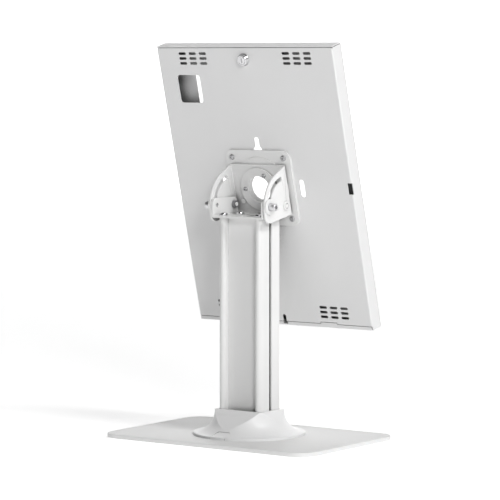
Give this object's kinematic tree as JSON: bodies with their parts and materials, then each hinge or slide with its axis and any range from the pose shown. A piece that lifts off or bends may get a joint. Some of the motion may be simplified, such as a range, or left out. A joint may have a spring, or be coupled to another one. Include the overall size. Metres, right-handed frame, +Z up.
{
  "type": "tablet security kiosk stand",
  "caption": "Desktop stand that holds a tablet in a lockable metal case, which tilts and swivels on top of a slotted column with a flared collar and a flat rounded base plate.",
  "frame": {"origin": "on the resting surface, under the middle of the base plate", "axes": "+Z up, +Y towards the back of the stand, +X towards the left of someone who looks at the back"},
  "size_m": [0.299, 0.197, 0.4719],
  "materials": {
    "base_plate": "white satin powder coat",
    "base_pads": "black foam rubber",
    "base_screws": "zinc plated",
    "post_left": "white satin powder coat",
    "post_right": "white satin powder coat",
    "front_cover": "white satin powder coat",
    "rear_cover": "white satin powder coat",
    "collar": "white satin plastic",
    "cable_plug": "white satin plastic",
    "column_bracket": "white satin powder coat",
    "bracket_screws": "dark plated",
    "pivot_bolts": "white satin",
    "pivot_washers": "natural nylon",
    "pivot_nuts": "dark plated",
    "clamp_washers": "white satin",
    "clamp_spring_washers": "zinc plated",
    "clamp_bolts": "bright plated",
    "tilt_bracket": "white satin powder coat",
    "swivel_stop_pin": "white satin powder coat",
    "swivel_washer_front": "natural nylon",
    "swivel_washer_rear": "natural nylon",
    "vesa_plate": "white satin powder coat",
    "retaining_flange": "white satin powder coat",
    "flange_screws": "dark plated",
    "vesa_screws": "dark plated",
    "clinch_nuts": "zinc plated",
    "back_shell": "white satin powder coat",
    "front_frame": "white satin powder coat",
    "lock_body": "polished chrome",
    "lock_nut": "zinc plated",
    "lock_barrel": "polished chrome",
    "lock_cam": "zinc plated",
    "lock_cam_screw": "zinc plated",
    "tablet_pads": "black foam"
  },
  "bodies": {
    "base": {"base_plate": "base_plate", "base_pads": "base_pads", "base_screws": "base_screws", "post_left": "post_left", "post_right": "post_right", "front_cover": "front_cover", "rear_cover": "rear_cover", "collar": "collar", "cable_plug": "cable_plug", "column_bracket": "column_bracket", "bracket_screws": "bracket_screws", "pivot_bolts": "pivot_bolts", "pivot_washers": "pivot_washers", "pivot_nuts": "pivot_nuts", "clamp_washers": "clamp_washers", "clamp_spring_washers": "clamp_spring_washers", "clamp_bolts": "clamp_bolts"},
    "tilting": {"tilt_bracket": "tilt_bracket", "swivel_stop_pin": "swivel_stop_pin", "swivel_washer_front": "swivel_washer_front", "swivel_washer_rear": "swivel_washer_rear"},
    "case": {"vesa_plate": "vesa_plate", "retaining_flange": "retaining_flange", "flange_screws": "flange_screws", "vesa_screws": "vesa_screws", "clinch_nuts": "clinch_nuts", "back_shell": "back_shell", "lock_body": "lock_body", "lock_nut": "lock_nut", "tablet_pads": "tablet_pads"},
    "lock": {"lock_barrel": "lock_barrel", "lock_cam": "lock_cam", "lock_cam_screw": "lock_cam_screw"},
    "frame": {"front_frame": "front_frame"}
  },
  "joints": [
    {"name": "tilt", "type": "hinge", "parent": "base", "child": "tilting", "pos_m": [0, -0.01864, 0.27933], "axis": [-1, 0, 0], "range_deg": [-11.75, 72.25]},
    {"name": "swivel", "type": "hinge", "parent": "tilting", "child": "case", "pos_m": [0, -0.03109, 0.29998], "axis": [0, 0.9671, -0.2545], "range_deg": [-90, 90]},
    {"name": "lock_turn", "type": "hinge", "parent": "case", "child": "lock", "pos_m": [0, 0.00892, 0.452], "axis": [0, -0.9671, 0.2545], "range_deg": [0, 90]},
    {"name": "front_frame_open", "type": "hinge", "parent": "case", "child": "frame", "pos_m": [0, -0.07566, 0.13065], "axis": [1, 0, 0], "range_deg": [0, 15]}
  ]
}
